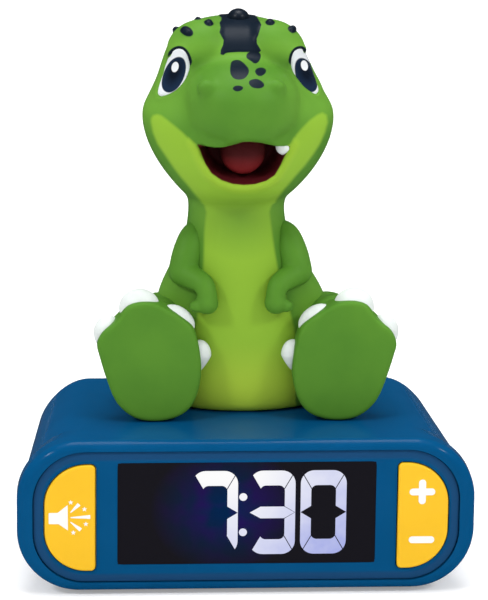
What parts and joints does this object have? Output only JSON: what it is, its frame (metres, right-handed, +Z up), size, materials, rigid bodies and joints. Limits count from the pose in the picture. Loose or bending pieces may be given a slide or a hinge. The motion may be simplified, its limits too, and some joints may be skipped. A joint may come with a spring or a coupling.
{
  "type": "digital alarm clock",
  "caption": "Child's digital alarm clock: rounded base with display window, press keys and battery door, and a seated dinosaur figure on top as night light.",
  "frame": {"origin": "on the surface the clock stands on, under the middle of its base", "axes": "+Z up, -Y towards the display and the viewer, +X to the viewer's right"},
  "size_m": [0.165, 0.0886, 0.2071],
  "materials": {
    "blue_shell": "glossy",
    "yellow_key": "satin",
    "rear_key": "satin",
    "smoked_window": "glossy",
    "display_block": "matte",
    "circuit_board": "satin",
    "switch_body": "satin",
    "steel_screw": "satin",
    "socket_metal": "satin",
    "speaker_steel": "satin",
    "speaker_paper": "matte",
    "cell_can": "satin",
    "contact_metal": "satin",
    "blue_door": "satin",
    "rubber": "matte",
    "green_vinyl": "matte",
    "navy_vinyl": "satin",
    "white_claw": "satin",
    "eye": "glossy",
    "red_tongue": "satin",
    "seat_plastic": "matte",
    "diode": "glossy",
    "diffuser": "frosted"
  },
  "bodies": {
    "base_and_figure": {"front_housing": "blue_shell", "rear_housing": "blue_shell", "face_panel": "blue_shell", "display_window": "smoked_window", "display_module": "display_block", "main_board": "circuit_board", "rear_board": "circuit_board", "light_board": "circuit_board", "front_switches": "switch_body", "rear_switches": "switch_body", "alarm_switch_body": "switch_body", "main_board_screws": "steel_screw", "housing_screws": "steel_screw", "rear_board_screws": "steel_screw", "seat_screws": "steel_screw", "light_board_screws": "steel_screw", "usb_socket": "socket_metal", "speaker_frame": "speaker_steel", "speaker_magnet": "speaker_steel", "speaker_cone": "speaker_paper", "aaa_cells": "cell_can", "contact_plates": "contact_metal", "contact_leaves": "contact_metal", "rubber_feet": "rubber", "figure_torso": "green_vinyl", "figure_head": "green_vinyl", "figure_tail": "green_vinyl", "figure_leg_left": "green_vinyl", "figure_leg_right": "green_vinyl", "figure_arm_left": "green_vinyl", "figure_arm_right": "green_vinyl", "dorsal_scutes": "navy_vinyl", "figure_claws_left": "white_claw", "figure_claws_right": "white_claw", "figure_tooth": "white_claw", "figure_eye_left": "eye", "figure_eye_right": "eye", "figure_tongue": "red_tongue", "figure_seat": "seat_plastic", "light_diodes": "diode", "light_diffuser": "diffuser"},
    "sound_button": {"sound_button": "yellow_key"},
    "plus_minus_button": {"plus_minus_button": "yellow_key"},
    "mode_key": {"mode_key": "rear_key"},
    "alarm_key": {"alarm_key": "rear_key"},
    "light_key": {"light_key": "rear_key"},
    "alarm_switch": {"alarm_switch_knob": "rear_key"},
    "battery_door": {"battery_door": "blue_door"},
    "door_screw_left": {"door_screw_left": "steel_screw"},
    "door_screw_right": {"door_screw_right": "steel_screw"}
  },
  "joints": [
    {"name": "sound_button_press", "type": "slide", "parent": "base_and_figure", "child": "sound_button", "axis": [0, 1, 0], "range_m": [0, 0.001], "stiffness_N_per_m": 400},
    {"name": "plus_minus_rock", "type": "hinge", "parent": "base_and_figure", "child": "plus_minus_button", "pos_m": [0.0635, -0.038, 0.02975], "axis": [1, 0, 0], "range_deg": [-3.5, 3.5], "stiffness_Nm_per_rad": 0.1},
    {"name": "mode_key_press", "type": "slide", "parent": "base_and_figure", "child": "mode_key", "axis": [0, -1, 0], "range_m": [0, 0.001], "stiffness_N_per_m": 300},
    {"name": "alarm_key_press", "type": "slide", "parent": "base_and_figure", "child": "alarm_key", "axis": [0, -1, 0], "range_m": [0, 0.001], "stiffness_N_per_m": 300},
    {"name": "light_key_press", "type": "slide", "parent": "base_and_figure", "child": "light_key", "axis": [0, -1, 0], "range_m": [0, 0.001], "stiffness_N_per_m": 300},
    {"name": "alarm_switch_slide", "type": "slide", "parent": "base_and_figure", "child": "alarm_switch", "axis": [1, 0, 0], "range_m": [0, 0.004]},
    {"name": "battery_door_lift", "type": "slide", "parent": "base_and_figure", "child": "battery_door", "axis": [0, 0, -1], "range_m": [0, 0.025]},
    {"name": "door_screw_left_turn", "type": "hinge", "parent": "battery_door", "child": "door_screw_left", "pos_m": [-0.03, -0.004, 0.0015], "axis": [0, 0, 1], "continuous": true},
    {"name": "door_screw_right_turn", "type": "hinge", "parent": "battery_door", "child": "door_screw_right", "pos_m": [0.03, -0.004, 0.0015], "axis": [0, 0, 1], "continuous": true}
  ]
}
